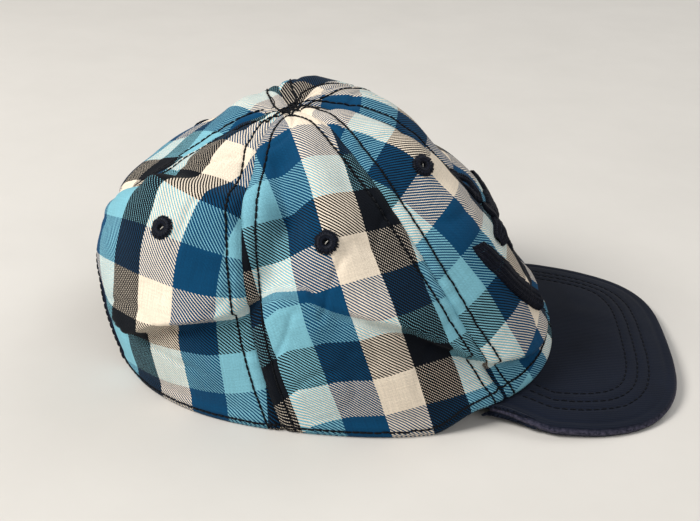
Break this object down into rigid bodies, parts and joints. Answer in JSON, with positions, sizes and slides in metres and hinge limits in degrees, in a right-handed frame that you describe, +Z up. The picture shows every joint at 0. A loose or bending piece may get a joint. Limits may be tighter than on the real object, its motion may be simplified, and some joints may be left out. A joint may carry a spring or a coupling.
{
  "type": "baseball cap",
  "caption": "Child's soft unstructured baseball cap in plaid twill with a stitched navy visor and a hook-and-loop strap at the back.",
  "frame": {"origin": "middle of the cap's footprint, on the surface that the hem and the visor's edges rest on", "axes": "+X forward along the visor, +Y to the wearer's left, +Z up"},
  "size_m": [0.2376, 0.154, 0.105],
  "materials": {
    "plaid_front": "yarn-dyed plaid cotton twill cut on the bias",
    "plaid_side": "yarn-dyed plaid cotton twill in petrol, aqua, cream and black",
    "plaid_rear": "yarn-dyed plaid cotton twill in petrol, aqua, cream and black",
    "thread_black": "embroidery thread",
    "seam_tape": "woven cotton tape",
    "sweatband_twill": "cotton twill",
    "label_satin": "woven satin",
    "binding_twill": "cotton twill folded binding",
    "strap_twill": "cotton twill",
    "hook_tape": "nylon hooks",
    "loop_tape": "nylon loops",
    "visor_twill": "cotton twill with rows of stitching",
    "visor_stiffener": "moulded sheet",
    "thread_navy": "padded satin embroidery"
  },
  "bodies": {
    "crown": {"front_panel_left": "plaid_front", "front_panel_right": "plaid_front", "side_panel_left": "plaid_side", "side_panel_right": "plaid_side", "rear_panel_left": "plaid_rear", "rear_panel_right": "plaid_rear", "front_eyelet_left": "thread_black", "front_eyelet_right": "thread_black", "side_eyelet_left": "thread_black", "side_eyelet_right": "thread_black", "rear_eyelet_left": "thread_black", "rear_eyelet_right": "thread_black", "apex_tack": "thread_black", "front_seam_tape": "seam_tape", "left_front_seam_tape": "seam_tape", "left_rear_seam_tape": "seam_tape", "rear_seam_tape": "seam_tape", "right_rear_seam_tape": "seam_tape", "right_front_seam_tape": "seam_tape", "sweatband": "sweatband_twill", "care_label": "label_satin", "rear_arch_binding": "binding_twill", "strap_left_root": "strap_twill", "strap_right": "strap_twill", "loop_patch": "loop_tape", "visor_top_cloth": "visor_twill", "visor_under_cloth": "visor_twill", "visor_board": "visor_stiffener", "anchor_shank": "thread_navy", "anchor_ring": "thread_navy", "anchor_stock_left": "thread_navy", "anchor_stock_right": "thread_navy", "anchor_arm_left": "thread_navy", "anchor_arm_right": "thread_navy"},
    "strap": {"strap_tab": "strap_twill", "hook_patch": "hook_tape"}
  },
  "joints": [
    {"name": "strap_peel", "type": "hinge", "parent": "crown", "child": "strap", "pos_m": [-0.1095, 0.0255, 0.0118], "axis": [0.2931, 0.0198, -0.9559], "range_deg": [0, 90]}
  ]
}
